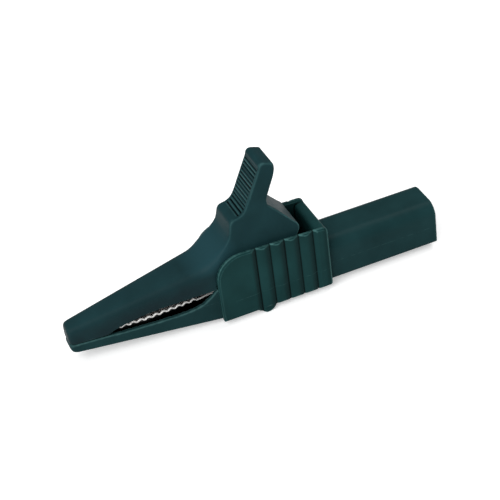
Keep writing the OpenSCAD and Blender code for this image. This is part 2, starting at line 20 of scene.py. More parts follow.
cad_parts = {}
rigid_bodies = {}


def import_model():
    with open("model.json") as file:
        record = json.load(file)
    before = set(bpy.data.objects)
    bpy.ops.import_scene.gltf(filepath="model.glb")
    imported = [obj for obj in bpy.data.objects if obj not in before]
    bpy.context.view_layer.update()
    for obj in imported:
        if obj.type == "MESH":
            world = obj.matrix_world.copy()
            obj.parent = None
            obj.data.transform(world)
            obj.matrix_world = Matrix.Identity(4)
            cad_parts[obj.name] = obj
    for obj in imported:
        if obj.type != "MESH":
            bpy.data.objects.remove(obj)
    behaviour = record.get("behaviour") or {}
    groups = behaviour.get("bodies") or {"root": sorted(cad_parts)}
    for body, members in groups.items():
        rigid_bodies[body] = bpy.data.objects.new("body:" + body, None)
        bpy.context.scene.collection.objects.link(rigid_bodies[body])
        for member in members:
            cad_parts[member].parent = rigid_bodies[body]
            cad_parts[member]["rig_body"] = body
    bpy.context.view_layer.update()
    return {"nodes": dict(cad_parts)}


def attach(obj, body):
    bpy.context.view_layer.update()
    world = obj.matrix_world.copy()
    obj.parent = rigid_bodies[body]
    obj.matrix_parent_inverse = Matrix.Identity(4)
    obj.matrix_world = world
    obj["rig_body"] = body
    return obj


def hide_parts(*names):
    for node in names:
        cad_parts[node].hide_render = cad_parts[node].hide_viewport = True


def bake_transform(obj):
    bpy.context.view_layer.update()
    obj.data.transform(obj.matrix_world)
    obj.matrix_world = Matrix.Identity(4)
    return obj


LOG = logging.getLogger("clip")
Colour = tuple[float, float, float]
Point = tuple[float, float, float]
Span = tuple[float, float]
Stops = tuple[tuple[float, float], ...]

# MM is a millimetre in metres, BEND names the stored bend, and MIDDLE is half-way from
# 0 to 1, which is also a noise's mean.
MM = 0.001
BEND = "bend"
WHITE: Colour = (1.0, 1.0, 1.0)
MIDDLE = 0.5
RISING: Stops = ((0.0, 0.0), (1.0, 1.0))
FALLING: Stops = ((0.0, 1.0), (1.0, 0.0))


# Shader helpers ---------------------------------------------------------


class Sock:
    """A shader socket that can be used in ordinary arithmetic."""

    def __init__(self, tree: Shader, socket: bpy.types.NodeSocket) -> None:
        """Keeps the socket and the tree that it belongs to.

        Args:
            tree: the shader tree that new nodes go into.
            socket: the output socket that this object stands for.
        """
        self.tree = tree
        self.socket = socket

    def _math(self, operation: str, first: Sock | float, second: Sock | float) -> Sock:
        """Adds one Math node.

        Args:
            operation: the Math node's operation.
            first: its first value or link.
            second: its second value or link.

        Returns:
            The node's result.
        """
        return self.tree.node("ShaderNodeMath", {"operation": operation}, {0: first, 1: second})

    def __add__(self, other: Sock | float) -> Sock:
        """self + other."""
        return self._math("ADD", self, other)

    def __radd__(self, other: float) -> Sock:
        """other + self."""
        return self._math("ADD", other, self)

    def __sub__(self, other: Sock | float) -> Sock:
        """self - other."""
        return self._math("SUBTRACT", self, other)

    def __rsub__(self, other: float) -> Sock:
        """other - self."""
        return self._math("SUBTRACT", other, self)

    def __mul__(self, other: Sock | float) -> Sock:
        """self * other."""
        return self._math("MULTIPLY", self, other)

    def __rmul__(self, other: float) -> Sock:
        """other * self."""
        return self._math("MULTIPLY", other, self)

    def __truediv__(self, other: Sock | float) -> Sock:
        """self / other."""
        return self._math("DIVIDE", self, other)

    def __lt__(self, other: Sock | float) -> Sock:
        """1 where self is under other, else 0."""
        return self._math("LESS_THAN", self, other)

    def __gt__(self, other: Sock | float) -> Sock:
        """1 where self is over other, else 0."""
        return self._math("GREATER_THAN", self, other)

    def __abs__(self) -> Sock:
        """The size of self, without its sign."""
        return self._math("ABSOLUTE", self, 0.0)

    def fraction(self) -> Sock:
        """What is left of self above the whole number below it."""
        return self._math("FRACT", self, 0.0)


class Shader:
    """One material's node tree, with a Principled shader at its end."""

    def __init__(self, name: str) -> None:
        """Makes an empty material.

        Args:
            name: the material's name.
        """
        self.material = bpy.data.materials.new(name)
        self.material.use_nodes = True
        self.tree = self.material.node_tree
        self.tree.nodes.clear()
        self.output = self.tree.nodes.new("ShaderNodeOutputMaterial")

    def node(
        self,
        kind: str,
        settings: dict[str, object] | None = None,
        inputs: dict[str | int, Sock | float | tuple] | None = None,
        output: str | int = 0,
    ) -> Sock:
        """Adds a node of any type.

        Args:
            kind: the node's type name.
            settings: properties that are set first; "stops" fills a colour ramp.
            inputs: a value or a Sock for each input, by name or number.
            output: the output that the result stands for.

        Returns:
            The chosen output.
        """
        node = self.tree.nodes.new(kind)
        for key, value in (settings or {}).items():
            if key == "stops":
                self._fill_ramp(node.color_ramp, value)
            else:
                setattr(node, key, value)
        for key, value in (inputs or {}).items():
            self.join(node.inputs[key], value)
        return Sock(self, node.outputs[output])

    @staticmethod
    def _fill_ramp(ramp: bpy.types.ColorRamp, stops: Stops) -> None:
        """Sets a ramp's stops.

        Args:
            ramp: the ramp to fill.
            stops: (place, grey level) pairs in rising order.
        """
        while len(ramp.elements) > len(stops):
            ramp.elements.remove(ramp.elements[-1])
        while len(ramp.elements) < len(stops):
            ramp.elements.new(1.0)
        for element, (place, level) in zip(ramp.elements, stops):
            element.position = place
            element.color = (level, level, level, 1.0)

    def join(self, socket: bpy.types.NodeSocket, value: Sock | float | tuple) -> None:
        """Links or sets one input.

        Args:
            socket: the input.
            value: a Sock to link, or a plain value; a colour may leave out alpha.
        """
        if isinstance(value, Sock):
            self.tree.links.new(value.socket, socket)
        elif isinstance(value, tuple) and socket.type == "RGBA" and len(value) == 3:
            socket.default_value = (*value, 1.0)
        else:
            socket.default_value = value

    def place(self) -> Sock:
        """The point on the surface in the part's frame, in metres."""
        return self.node("ShaderNodeTexCoord", {}, {}, "Object")

    def axis(self, letter: str) -> Sock:
        """One coordinate of the point on the surface, in metres."""
        return self.node("ShaderNodeSeparateXYZ", {}, {0: self.place()}, letter)

    def noise(self, size_mm: float, detail: float = 2.0, rough: float = 0.5) -> Sock:
        """Cloudy noise from 0 to 1.

        Args:
            size_mm: about the size of one blotch.
            detail: how many finer layers are added.
            rough: how strong the finer layers are.

        Returns:
            The noise value.
        """
        inputs = {
            "Vector": self.place(),
            "Scale": 1.0 / (size_mm * MM),
            "Detail": detail,
            "Roughness": rough,
        }
        return self.node("ShaderNodeTexNoise", {}, inputs, "Fac")

    def bend(self) -> Sock:
        """How sharply the piece bends, per millimetre: over 0 on edges, under 0 in grooves."""
        return self.node("ShaderNodeAttribute", {"attribute_name": BEND}, {}, "Fac")

    def ramp(self, value: Sock, stops: Stops) -> Sock:
        """Reshapes a value through a ramp of grey levels.

        Args:
            value: the value to reshape.
            stops: (place, level) pairs.

        Returns:
            The reshaped value.
        """
        return self.node("ShaderNodeValToRGB", {"stops": stops}, {"Fac": value}, "Color")

    def mix(self, factor: Sock | float, first: Sock | Colour, second: Sock | Colour) -> Sock:
        """Mixes two colours.

        Args:
            factor: 0 for the first colour and 1 for the second.
            first: a colour.
            second: another colour.

        Returns:
            The mixed colour.
        """
        inputs = {0: factor, 6: first, 7: second}
        return self.node("ShaderNodeMix", {"data_type": "RGBA"}, inputs, 2)

    def bump(self, height: Sock, depth_mm: float, strength: float = 1.0) -> Sock:
        """Turns a height into a normal.

        Args:
            height: the height, from 0 to 1.
            depth_mm: how deep a height of 1 is.
            strength: how much of the bump is used.

        Returns:
            The bent normal.
        """
        inputs = {"Strength": strength, "Distance": depth_mm * MM, "Height": height}
        return self.node("ShaderNodeBump", {}, inputs)

    def finish(self, inputs: dict[str, Sock | float | tuple]) -> bpy.types.Material:
        """Ends the tree in a Principled shader.

        Args:
            inputs: values or links for the shader's sockets.

        Returns:
            The finished material.
        """
        shader = self.node("ShaderNodeBsdfPrincipled", {}, inputs, "BSDF")
        self.tree.links.new(shader.socket, self.output.inputs["Surface"])
        return self.material


# Finishes ---------------------------------------------------------------


def tinted(colour: Colour, shares: Colour) -> Colour:
    """Scales a colour channel by channel."""
    return tuple(share * channel for share, channel in zip(shares, colour))


def shaded(colour: Colour, share: float) -> Colour:
    """Scales a colour evenly."""
    return tinted(colour, (share, share, share))


@dataclass(frozen=True)
class MouldedPlastic:
    """Satin moulded plastic with faint flow marks, edges lightened as wear and as a painted
    highlight, painted shade in creases, and a parting line.

    A field in _mm is the size of one blotch, _stops are a ramp's stops, _shade is a
    share of the plastic's own colour, and _rough and _height are how much a pattern
    adds to the roughness and to the relief, whose depth is grain_mm.
    """

    name: str
    colour: Colour
    # The lighter edge colour marks convex edges, both as patchy wear and as a painted
    # highlight.
    edge_wear_and_highlight_colour: Colour
    roughness: float = 0.37
    gloss: float = 0.03
    refraction: float = 1.5
    cloud_mm: float = 9.0
    cloud_detail: float = 3.0
    cloud_stops: Stops = ((0.3, 0.0), (0.7, 1.0))
    cloud_shades: Span = (0.82, 1.16)
    cloud_rough: float = 0.05
    mottle_mm: float = 1.4
    mottle_detail: float = 3.0
    mottle_fine: float = 0.6
    mottle_rough: float = 0.10
    mottle_height: float = 0.4
    pitting_mm: float = 0.22
    pitting_detail: float = 2.0
    pitting_height: float = 0.6
    grain_mm: float = 0.018
    full_bend: float = 4.0
    bend_stops: Stops = ((0.16, 0.0), (0.5, 1.0))
    wear_stops: Stops = ((0.25, 0.6), (0.6, 1.0))
    # Painted shade: creases and grooves darken to this share of the colour.
    crease_shade_share: float = 0.12
    seam_z: float | None = None
    seam_half_width: float = 0.09
    seam_height: float = 0.5
    seam_wear: float = 0.4
    seam_stops: Stops = ((0.45, 0.0), (0.6, 1.0))

    def material(self) -> bpy.types.Material:
        """Builds the material.

        Returns:
            The material for one colour of plastic.
        """
        s = Shader(self.name)
        cloud = s.ramp(s.noise(self.cloud_mm, self.cloud_detail), self.cloud_stops)
        mottle = s.noise(self.mottle_mm, self.mottle_detail, self.mottle_fine)
        pitting = s.noise(self.pitting_mm, self.pitting_detail)
        dark, light = (shaded(self.colour, shade) for shade in self.cloud_shades)
        colour = s.mix(cloud, dark, light)
        # Convex edges are lightened, partly as patchy wear and partly as a painted highlight.
        edges = s.ramp(s.bend() / self.full_bend, self.bend_stops)
        worn_and_highlit = edges * s.ramp(mottle, self.wear_stops)
        colour = s.mix(worn_and_highlit, colour, self.edge_wear_and_highlight_colour)
        # Painted shade: creases and grooves are darkened where shade would fall.
        crease_shade = s.ramp(s.bend() / -self.full_bend, self.bend_stops)
        colour = s.mix(crease_shade, colour, shaded(self.colour, self.crease_shade_share))
        colour = self._marks(s, colour)
        rough = self.roughness + self.mottle_rough * (mottle - MIDDLE)
        rough = rough + self.cloud_rough * (cloud - MIDDLE)
        height = self.pitting_height * pitting + self.mottle_height * mottle
        if self.seam_z is not None:
            seam = self._seam(s)
            rubbed_and_highlit = self.seam_wear * seam * s.ramp(mottle, self.seam_stops)
            colour = s.mix(rubbed_and_highlit, colour, self.edge_wear_and_highlight_colour)
            height = height + self.seam_height * seam
        return s.finish(
            {
                "Base Color": colour,
                "Roughness": rough,
                "IOR": self.refraction,
                "Specular IOR Level": self.gloss,
                "Normal": s.bump(height, self.grain_mm),
            }
        )

    def _marks(self, s: Shader, colour: Sock) -> Sock:
        """Marks that only one moulding has; none on a plain one.

        Args:
            s: the tree to add to.
            colour: the colour so far.

        Returns:
            The colour with the marks.
        """
        return colour

    def _seam(self, s: Shader) -> Sock:
        """The mould's parting line, a fine raised line at one height.

        Args:
            s: the tree to add to.

        Returns:
            A height that is 1 on the line.
        """
        away = abs(s.axis("Z") - self.seam_z * MM) / (self.seam_half_width * MM)
        return s.ramp(away, FALLING)


@dataclass(frozen=True)
class RibbedPlastic(MouldedPlastic):
    """Moulded plastic with painted shade on its ribs' rear flanks, a painted shadow in their
    grooves and a painted highlight on its rear corner.

    flank_start and groove_margin are shares of the ribs' pitch.
    """

    rear_x: float = -25.0
    side_y: float = 6.7
    rib_end: float = 3.8
    rib_pitch: float = 3.7
    rib_count: int = 4
    # The flank fields paint shade on the ribs' rear flanks, the groove fields paint a shadow
    # line in the grooves, and the corner fields paint a highlight on the rear corner.
    flank_start: float = 0.4
    flank_stops: Stops = ((0.55, 0.0), (0.8, 1.0))
    flank_strength: float = 0.65
    flank_shade: float = 0.5
    groove_margin: float = 0.1
    groove_stops: Stops = ((0.43, 0.0), (0.49, 1.0))
    groove_strength: float = 0.85
    groove_shade: float = 0.08
    corner_highlight_stops: Stops = ((0.3, 1.0), (0.6, 0.0))
    corner_highlight_strength: float = 0.8

    def _marks(self, s: Shader, colour: Sock) -> Sock:
        """Painted shadow in the grooves, painted shade on the rear flanks and a painted
        highlight on the rear corner.

        Args:
            s: the tree to add to.
            colour: the colour so far.

        Returns:
            The colour with the marks.
        """
        x = s.axis("X")
        outside = abs(s.axis("Y")) > self.side_y * MM
        pitch = self.rib_pitch * MM
        last = (self.rear_x - self.rib_end) * MM
        first = last - self.rib_count * pitch
        along = ((x - last) / pitch).fraction()
        # Painted shade: the rear half of each rib, which faces away from the key lamp, is
        # darkened.
        shaded_flank = s.ramp(along, self.flank_stops) * (x > first - self.flank_start * pitch)
        flank_shade_colour = shaded(self.colour, self.flank_shade)
        colour = s.mix(self.flank_strength * shaded_flank * outside, colour, flank_shade_colour)
        # Painted shadow: a dark line along each groove.
        margin = self.groove_margin * pitch
        groove_shadow = s.ramp(abs(along - MIDDLE), self.groove_stops)
        groove_shadow = groove_shadow * (x > first - margin) * (x < last + margin)
        groove_shadow_colour = shaded(self.colour, self.groove_shade)
        colour = s.mix(self.groove_strength * groove_shadow * outside, colour, groove_shadow_colour)
        # Painted highlight: a light line down the rear corner.
        corner_highlight = s.ramp((self.rear_x * MM - x) / MM, self.corner_highlight_stops)
        return s.mix(self.corner_highlight_strength * corner_highlight * outside, colour, self.edge_wear_and_highlight_colour)


@dataclass(frozen=True)
class NosePlastic(MouldedPlastic):
    """Moulded plastic that is darker towards its biting edge and has a painted highlight on its
    shoulder.
    """

    tip_x: float = -88.0
    edge_z: float = -0.5
    bite_slope: float = 0.2
    dark_band_height: float = 6.0
    nose_end: float = -55.0
    nose_fade: float = 6.0
    patch_mm: float = 6.0
    patch_detail: float = 2.0
    patch_stops: Stops = ((0.3, 0.55), (0.65, 1.0))
    dark_band_tint: Colour = (0.95, 0.62, 0.64)
    # The shoulder fields place a painted highlight on the neck's shoulder.
    shoulder_x: float = -55.0
    shoulder_z: float = 13.2
    shoulder_length: float = 8.0
    shoulder_height: float = 6.0
    shoulder_highlight_tint: Colour = (1.5, 1.45, 1.55)

    def _marks(self, s: Shader, colour: Sock) -> Sock:
        """A darker band that fades upwards from the biting edge, and a painted highlight on the
        shoulder.

        Args:
            s: the tree to add to.
            colour: the colour so far.

        Returns:
            The colour with both marks.
        """
        x, z = s.axis("X"), s.axis("Z")
        # A darker, purplish band that fades upwards from the biting edge.
        bite = (x - self.tip_x * MM) * self.bite_slope + self.edge_z * MM
        up = s.ramp((z - bite) / (self.dark_band_height * MM), FALLING)
        along = s.ramp((self.nose_end * MM - x) / (self.nose_fade * MM) + MIDDLE, RISING)
        patchy = s.ramp(s.noise(self.patch_mm, self.patch_detail), self.patch_stops)
        colour = s.mix(up * along * patchy, colour, tinted(self.colour, self.dark_band_tint))
        # Painted highlight: a paler patch round the shoulder.
        from_x = (x - self.shoulder_x * MM) / (self.shoulder_length * MM)
        from_z = (z - self.shoulder_z * MM) / (self.shoulder_height * MM)
        shoulder_highlight = s.ramp(from_x * from_x + from_z * from_z, FALLING)
        return s.mix(shoulder_highlight, colour, tinted(self.colour, self.shoulder_highlight_tint))


@dataclass(frozen=True)
class PlatedMetal:
    """Nickel or bare steel with a brushed or drawn grain.

    On the toothed jaws its flat faces get painted shade and its edges a painted highlight,
    which is partly also polish from use.
    """

    name: str
    colour: Colour
    roughness: float = 0.28
    grain_mm: float = 0.01
    grain_per_m: float = 5000.0
    grain_detail: float = 3.0
    grain_strength: float = 0.6
    grain_rough: float = 0.06
    streak: Point = (1.0, 1.0, 1.0)
    stain_mm: float = 2.2
    stain_detail: float = 3.0
    stain_stops: Stops = ((0.35, 0.0), (0.75, 1.0))
    stain_shade: float = 0.78
    stain_strength: float = 0.6
    stain_rough: float = 0.06
    # These fields paint a highlight on cut and rubbed edges and paint shade on the flat faces.
    painted_edge_glint: bool = False
    glint_colour: Colour = (0.95, 0.94, 0.92)
    glint_facing: Stops = ((0.90, 1.0), (0.99, 0.0))
    glint_full_bend: float = 4.0
    glint_bend_stops: Stops = ((0.1, 0.0), (0.4, 1.0))
    glint_rough: float = 0.30
    glint_dullness: float = 0.8
    painted_face_shade: float = 0.05

    def material(self) -> bpy.types.Material:
        """Builds the material.

        Returns:
            The material for one metal.
        """
        s = Shader(self.name)
        stretch = {"Vector": s.place(), "Scale": self.streak}
        drawn = {
            "Vector": s.node("ShaderNodeMapping", {}, stretch),
            "Scale": self.grain_per_m,
            "Detail": self.grain_detail,
        }
        grain = s.node("ShaderNodeTexNoise", {}, drawn, "Fac")
        stain = s.ramp(s.noise(self.stain_mm, self.stain_detail), self.stain_stops)
        rough = self.roughness + self.grain_rough * (grain - MIDDLE) + self.stain_rough * stain
        metallic: Sock | float = 1.0
        if self.painted_edge_glint:
            # Painted shade on the flat faces and a painted highlight on the edges.
            glint = self._glint(s)
            colour = s.mix(glint, shaded(self.colour, self.painted_face_shade), self.glint_colour)
            rough = rough + self.glint_rough * glint
            metallic = 1.0 - self.glint_dullness * glint
        else:
            dull = shaded(self.colour, self.stain_shade)
            colour = s.mix(self.stain_strength * stain, self.colour, dull)
        return s.finish(
            {
                "Base Color": colour,
                "Metallic": metallic,
                "Roughness": rough,
                "Normal": s.bump(grain, self.grain_mm, self.grain_strength),
            }
        )

    def _glint(self, s: Shader) -> Sock:
        """Finds where the painted highlight goes, on cut and rubbed edges, apart from the two
        flat faces, which get painted shade.

        Args:
            s: the tree to add to.

        Returns:
            1 where the highlight is painted and 0 on a face with painted shade.
        """
        # Faces that point sideways get painted shade; other faces and sharply bent edges get
        # the painted highlight.
        normal = s.node("ShaderNodeTexCoord", {}, {}, "Normal")
        sideways = abs(s.node("ShaderNodeSeparateXYZ", {}, {0: normal}, "Y"))
        rubbed_and_highlit = s.ramp(s.bend() / self.glint_full_bend, self.glint_bend_stops)
        return s.ramp(s.ramp(sideways, self.glint_facing) + rubbed_and_highlit, RISING)


@dataclass(frozen=True)
class StudioFloor:
    """A plain pale sheet that looks white to the camera and keeps the shadow."""

    name: str = "studio_floor"
    colour: Colour = (0.90, 0.90, 0.90)
    lift: float = 0.42
    mirrored_lift: float = 0.1

    def material(self) -> bpy.types.Material:
        """Builds the material.

        Returns:
            The floor's material.
        """
        s = Shader(self.name)
        eye = s.node("ShaderNodeLightPath", {}, {}, "Is Camera Ray")
        glossy = s.node("ShaderNodeLightPath", {}, {}, "Is Glossy Ray")
        diffuse = s.node("ShaderNodeBsdfDiffuse", {}, {"Color": self.colour}, "BSDF")
        strength = self.lift * eye + self.mirrored_lift * glossy
        lit = {"Color": WHITE, "Strength": strength}
        glow = s.node("ShaderNodeEmission", {}, lit, "Emission")
        both = s.node("ShaderNodeAddShader", {}, {0: diffuse, 1: glow}, "Shader")
        s.tree.links.new(both.socket, s.output.inputs["Surface"])
        return s.material


class Finish(Enum):
    """The finishes that the clip's pieces wear."""

    # The lighter colour of each plastic marks its edges, both as patchy wear and as a painted
    # highlight.
    JAW = NosePlastic("jaw_plastic", (0.0105, 0.037, 0.042), (0.045, 0.115, 0.118))
    COVER = RibbedPlastic(
        "cover_plastic", (0.0096, 0.0415, 0.042), (0.055, 0.145, 0.142), seam_z=-0.7
    )
    BODY = MouldedPlastic(
        "body_plastic", (0.0105, 0.038, 0.041), (0.050, 0.120, 0.120), seam_z=-0.5
    )
    # The sheet gets painted shade on its faces and a painted highlight on its edges.
    SHEET = PlatedMetal(
        "plated_sheet", (0.62, 0.61, 0.59), 0.08, streak=(1.0, 1.0, 6.0), painted_edge_glint=True
    )
    RIVET = PlatedMetal("plated_rivet", (0.76, 0.75, 0.72), 0.30)
    PIN = PlatedMetal("ground_pin", (0.62, 0.62, 0.63), 0.22, streak=(4.0, 1.0, 4.0))
    WIRE = PlatedMetal("spring_wire", (0.55, 0.56, 0.58), 0.26, streak=(1.0, 3.0, 1.0))
    SOCKET = PlatedMetal("plated_brass", (0.82, 0.78, 0.68), 0.22, streak=(1.0, 6.0, 6.0))

    def made(self) -> bpy.types.Material:
        """Gives the material, built the first time that it is asked for.

        Returns:
            The finish's one material.
        """
        name = "look_" + self.value.name
        found = bpy.data.materials.get(name)
        if found is None:
            found = self.value.material()
            found.name = name
        return found


# Mesh helpers -----------------------------------------------------------


def dress(piece: bpy.types.Object, finish: Finish) -> None:
    """Gives a piece one finish.

    Args:
        piece: the object.
        finish: the finish it wears.
    """
    piece.data.materials.clear()
    piece.data.materials.append(finish.made())


def report(piece: bpy.types.Object, body: str) -> None:
    """Reports one finished piece.

    Args:
        piece: the piece.
        body: the body that it rides on.
    """
    LOG.info("%s rides on %s, %d faces", piece.name, body, len(piece.data.polygons))


def set_smooth(mesh: bpy.types.Mesh) -> None:
    """Shades all of a mesh's faces smooth."""
    mesh.polygons.foreach_set("use_smooth", np.ones(len(mesh.polygons), bool))


class SoftMoulding:
    """A copy of a solid whose edges are rounded as a mould or a press rounds them.

    STEP is how far one pass takes a point towards its neighbours, of which an even
    grid has 4. SHARPEST is the largest bend that is kept, per millimetre, and
    EVENINGS is how many times the bend is evened out.
    """

    STEP = 0.5
    NEIGHBOURS = 4.0
    SHARPEST = 6.0
    EVENINGS = 4

    def __init__(self, node: bpy.types.Object, name: str, grid_mm: float) -> None:
        """Copies a solid and rebuilds it on an even grid.

        Args:
            node: the solid to copy.
            name: the new piece's name.
            grid_mm: the grid's step.
        """
        mesh = node.data.copy()
        mesh.transform(Matrix.Scale(1.0 / MM, 4))
        rough = bpy.data.objects.new(name + "_rough", mesh)
        bpy.context.scene.collection.objects.link(rough)
        remesh = rough.modifiers.new("grid", "REMESH")
        remesh.mode = "VOXEL"
        remesh.voxel_size = grid_mm
        shape = rough.evaluated_get(bpy.context.evaluated_depsgraph_get())
        even = bpy.data.meshes.new_from_object(shape)
        bpy.data.objects.remove(rough)
        bpy.data.meshes.remove(mesh)
        even.materials.clear()
        self.object = bpy.data.objects.new(name, even)
        bpy.context.scene.collection.objects.link(self.object)
        count = len(even.vertices)
        self.points = np.empty(count * 3)
        even.vertices.foreach_get("co", self.points)
        self.points = self.points.reshape(-1, 3)
        pairs = np.empty(len(even.edges) * 2, np.int64)
        even.edges.foreach_get("vertices", pairs)
        self.pairs = pairs.reshape(-1, 2)
        self.degree = np.bincount(pairs, minlength=count)[:, None]
        self.grid_mm = grid_mm

    def soften(self, passes: Callable[[np.ndarray], np.ndarray], most: int) -> None:
        """Rounds edges by moving points towards their neighbours.

        Args:
            passes: gives, for points in millimetres, how many passes each takes.
            most: the largest number of passes.
        """
        wanted = passes(self.points)
        for step in range(most):
            share = np.clip(wanted - step, 0.0, 1.0)[:, None] * self.STEP
            self.points += share * (self._around(self.points) - self.points)

    def _around(self, values: np.ndarray) -> np.ndarray:
        """The mean of each point's neighbours.

        Args:
            values: one row for each point.

        Returns:
            The neighbours' mean, one row for each point.
        """
        a, b = self.pairs[:, 0], self.pairs[:, 1]
        count = len(values)
        mean = np.empty_like(values)
        for axis in range(values.shape[1]):
            p = values[:, axis]
            mean[:, axis] = np.bincount(a, p[b], count) + np.bincount(b, p[a], count)
        return mean / self.degree

    def _store_bend(self) -> None:
        """Stores how sharply the surface bends at each point, for the finishes."""
        mesh = self.object.data
        normals = np.empty(len(self.points) * 3)
        mesh.vertex_normals.foreach_get("vector", normals)
        drop = self.points - self._around(self.points)
        bend = (drop * normals.reshape(-1, 3)).sum(axis=1, keepdims=True)
        bend = bend * self.NEIGHBOURS / self.grid_mm**2
        bend = np.clip(bend, -self.SHARPEST, self.SHARPEST)
        for _ in range(self.EVENINGS):
            bend = self.STEP * (bend + self._around(bend))
        mesh.attributes.new(BEND, "FLOAT", "POINT").data.foreach_set("value", bend.ravel())

    def placed(self) -> bpy.types.Object:
        """Writes the points back in metres.

        Returns:
            The finished piece.
        """
        mesh = self.object.data
        mesh.vertices.foreach_set("co", (self.points * MM).ravel())
        mesh.update()
        set_smooth(mesh)
        self._store_bend()
        return self.object


def between(value: np.ndarray, span: Span) -> np.ndarray:
    """A soft step.

    Args:
        value: the values.
        span: where the step starts and where it ends.

    Returns:
        0 at the start and 1 at the end, smooth between them.
    """
    low, high = span
    t = np.clip((value - low) / (high - low), 0.0, 1.0)
    return t * t * (3.0 - 2.0 * t)


# Sub-assemblies ---------------------------------------------------------


@dataclass
class UpperJaw:
    """The upper jaw, neck, thumb lever and heel, one moulding.

    Each span is where one region fades in. The spans of the fronts, the neck's rear
    and the tip count forwards from the origin.
    """

    nodes: dict[str, bpy.types.Object]
    grid_mm: float = 0.16
    crisp: int = 1
    soft: int = 26
    edge_passes: int = 3
    lever_share: float = 0.8
    pad_side: Span = (3.6, 3.9)
    pad_top: Span = (31.6, 32.2)
    pad_foot: Span = (17.0, 18.5)
    pad_front: Span = (33.5, 35.5)
    lever_foot: Span = (16.5, 18.5)
    lever_front: Span = (33.0, 34.5)
    neck_rear: Span = (40.8, 42.5)
    neck_floor: Span = (5.0, 8.0)
    tip: Span = (88.4, 89.6)

    def build(self) -> bpy.types.Object:
        """Makes the softened moulding.

        Returns:
            The piece that stands for the upper jaw.
        """
        moulding = SoftMoulding(self.nodes["upper_jaw"], "upper_jaw_moulding", self.grid_mm)
        moulding.soften(self._passes, self.soft + self.edge_passes)
        piece = moulding.placed()
        dress(piece, Finish.JAW)
        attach(piece, "jaw")
        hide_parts("upper_jaw")
        return piece

    def _passes(self, p: np.ndarray) -> np.ndarray:
        """How soft each region is: crisp pad ridges and rims, round neck and nose.

        Args:
            p: points in millimetres.

        Returns:
            The number of smoothing passes for each point.
        """
        x, y, z = p.T
        forward = -x
        ribbed = 1.0 - between(np.abs(y), self.pad_side)
        ribbed *= 1.0 - between(z, self.pad_top)
        pad = between(z, self.pad_foot) * between(forward, self.pad_front) * ribbed
        lever = between(z, self.lever_foot) * between(forward, self.lever_front)
        neck = between(forward, self.neck_rear) * between(z, self.neck_floor)
        soft = np.clip(np.maximum(neck, self.lever_share * lever) - pad, 0.0, 1.0)
        soft = np.maximum(soft, between(forward, self.tip))
        return self.crisp + (self.soft - self.crisp) * soft + self.edge_passes * (1.0 - pad)


@dataclass
class LowerBody:
    """The lower jaw, hinge ears and socket block, one moulding."""

    nodes: dict[str, bpy.types.Object]
    grid_mm: float = 0.19
    passes: int = 3
    tip_passes: int = 16
    tip: Span = (88.4, 89.6)

    def build(self) -> bpy.types.Object:
        """Makes the softened moulding.

        Returns:
            The piece that stands for the lower body.
        """
        moulding = SoftMoulding(self.nodes["lower_body"], "lower_body_moulding", self.grid_mm)
        moulding.soften(self._passes, self.passes + self.tip_passes)
        piece = moulding.placed()
        dress(piece, Finish.BODY)
        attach(piece, "body")
        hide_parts("lower_body")
        return piece

    def _passes(self, p: np.ndarray) -> np.ndarray:
        """How soft each region is: the tip is rounder than the rest.

        Args:
            p: points in millimetres.

        Returns:
            The number of smoothing passes for each point.
        """
        return self.passes + self.tip_passes * between(-p[:, 0], self.tip)


@dataclass
class GripCover:
    """The ribbed cover that straddles the hinge."""

    nodes: dict[str, bpy.types.Object]
    grid_mm: float = 0.14
    passes: int = 2

    def build(self) -> bpy.types.Object:
        """Makes the softened moulding.

        Returns:
            The piece that stands for the grip cover.
        """
        moulding = SoftMoulding(self.nodes["grip_cover"], "grip_cover_moulding", self.grid_mm)
        moulding.soften(lambda p: np.full(len(p), float(self.passes)), self.passes)
        piece = moulding.placed()
        dress(piece, Finish.COVER)
        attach(piece, "body")
        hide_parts("grip_cover")
        return piece


@dataclass
class StampedJaws:
    """The two toothed sheet metal jaws, with the rounded edges that a press leaves."""

    nodes: dict[str, bpy.types.Object]
    bodies: dict[str, str] = field(
        default_factory=lambda: {"lower_contact": "body", "upper_contact": "jaw"}
    )
    grid_mm: float = 0.12
    passes: int = 5

    def build(self) -> list[bpy.types.Object]:
        """Makes both jaws.

        Returns:
            The pieces that stand for the two contacts.
        """
        made = []
        for name, body in self.bodies.items():
            moulding = SoftMoulding(self.nodes[name], name + "_pressing", self.grid_mm)
            moulding.soften(lambda p: np.full(len(p), float(self.passes)), self.passes)
            piece = moulding.placed()
            dress(piece, Finish.SHEET)
            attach(piece, body)
            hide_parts(name)
            made.append(piece)
        return made


@dataclass
class MetalParts:
    """The rivets, hinge pin, bush and contact socket."""

    nodes: dict[str, bpy.types.Object]
    finishes: dict[str, Finish] = field(
        default_factory=lambda: {
            "upper_contact_rivet": Finish.RIVET,
            "contact_rivet": Finish.RIVET,
            "pivot_pin": Finish.PIN,
            "pin_bush": Finish.PIN,
            "contact_socket": Finish.SOCKET,
        }
    )
    edge_mm: float = 0.04
    edge_segments: int = 2
    sharp_degrees: float = 35.0

    def build(self) -> list[bpy.types.Object]:
        """Dresses the metal solids and breaks their sharp edges.

        Returns:
            The dressed pieces.
        """
        for name, finish in self.finishes.items():
            piece = self.nodes[name]
            dress(piece, finish)
            edge = piece.modifiers.new("broken_edge", "BEVEL")
            edge.width = self.edge_mm * MM
            edge.segments = self.edge_segments
            edge.limit_method = "ANGLE"
            edge.angle_limit = math.radians(self.sharp_degrees)
        return [self.nodes[name] for name in self.finishes]


